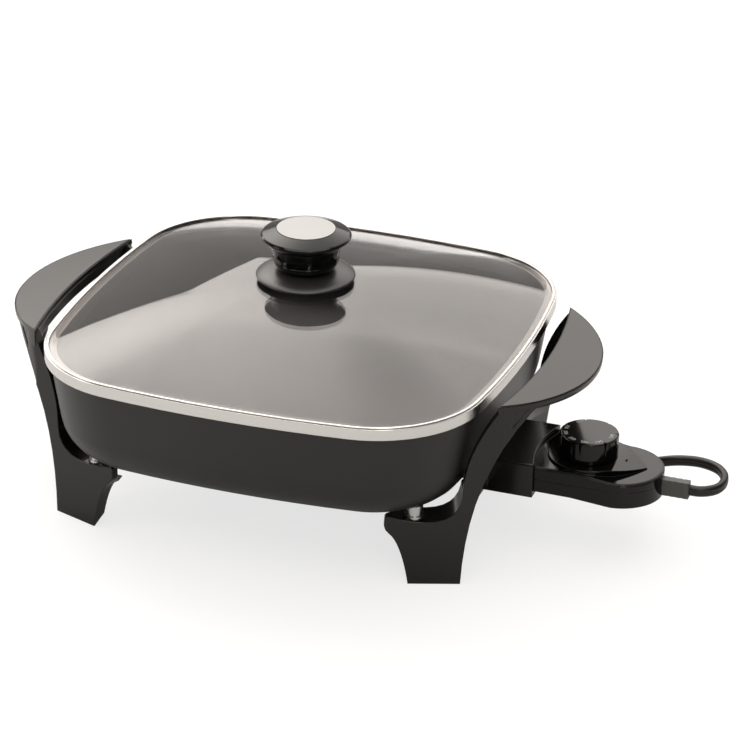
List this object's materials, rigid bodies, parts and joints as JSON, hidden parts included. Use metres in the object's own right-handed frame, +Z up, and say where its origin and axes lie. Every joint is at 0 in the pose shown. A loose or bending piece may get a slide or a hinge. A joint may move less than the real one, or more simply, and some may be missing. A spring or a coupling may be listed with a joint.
{
  "type": "electric skillet",
  "caption": "Bowed-square electric skillet on four moulded legs, with side grips, a lift-off domed glass lid with a centre knob, and a plug-in heat control with dial and cord.",
  "frame": {"origin": "on the table under the middle of the object's box from the left grip to the heat control's outer end", "axes": "+X towards the heat control, -Y towards the user, +Z up"},
  "size_m": [0.4682, 0.3855, 0.1813],
  "materials": {
    "pan_coating": "satin black non-stick coating on cast aluminium",
    "element_sheath": "matte, heat darkened",
    "plated_steel": "satin nickel plate",
    "ceramic": "matte steatite ceramic",
    "handle_plastic": "satin phenolic",
    "bright_aluminium": "turned, bright",
    "lid_glass": "clear tempered",
    "lid_steel": "polished stainless",
    "knob_plastic": "gloss phenolic",
    "badge_metal": "satin silver",
    "brass": "machined",
    "silicone": "matte",
    "control_plastic": "gloss phenolic",
    "zinc_plate": "zinc plated",
    "dial_plastic": "gloss, pale figures on the rim",
    "grey_rubber": "matte",
    "cord_jacket": "satin vinyl"
  },
  "bodies": {
    "skillet": {"pan": "pan_coating", "heating_element": "element_sheath", "terminal_pins": "plated_steel", "terminal_insulators": "ceramic", "left_handle": "handle_plastic", "right_handle": "handle_plastic", "leg_standoffs": "bright_aluminium", "leg_screws": "plated_steel"},
    "lid": {"lid_glass": "lid_glass", "lid_band": "lid_steel", "knob_skirt": "knob_plastic", "knob_grip": "knob_plastic", "knob_badge": "badge_metal", "knob_insert": "brass", "knob_screw": "plated_steel", "knob_washer": "plated_steel", "knob_gaskets": "silicone"},
    "heat_control": {"control_cover": "control_plastic", "control_base": "control_plastic", "control_screws": "plated_steel", "probe": "plated_steel", "terminal_sockets": "brass", "thermostat_frame": "zinc_plate", "bimetal_blade": "plated_steel", "contact_blades": "brass", "contact_posts": "ceramic", "strain_relief": "grey_rubber", "cord": "cord_jacket", "cord_coil": "cord_jacket", "cord_tie": "cord_jacket", "cord_tail": "cord_jacket", "plug_body": "cord_jacket", "plug_blades": "brass"},
    "temperature_dial": {"dial": "dial_plastic", "dial_shaft": "plated_steel", "dial_screw": "plated_steel"}
  },
  "joints": [
    {"name": "lid_lift", "type": "slide", "parent": "skillet", "child": "lid", "axis": [0, 0, 1], "range_m": [0, 0.1]},
    {"name": "control_pull", "type": "slide", "parent": "skillet", "child": "heat_control", "axis": [1, 0, 0], "range_m": [0, 0.09]},
    {"name": "dial_turn", "type": "hinge", "parent": "heat_control", "child": "temperature_dial", "pos_m": [0.16515, -0.002, 0.066], "axis": [0, 0, 1], "range_deg": [-280, 0]}
  ]
}
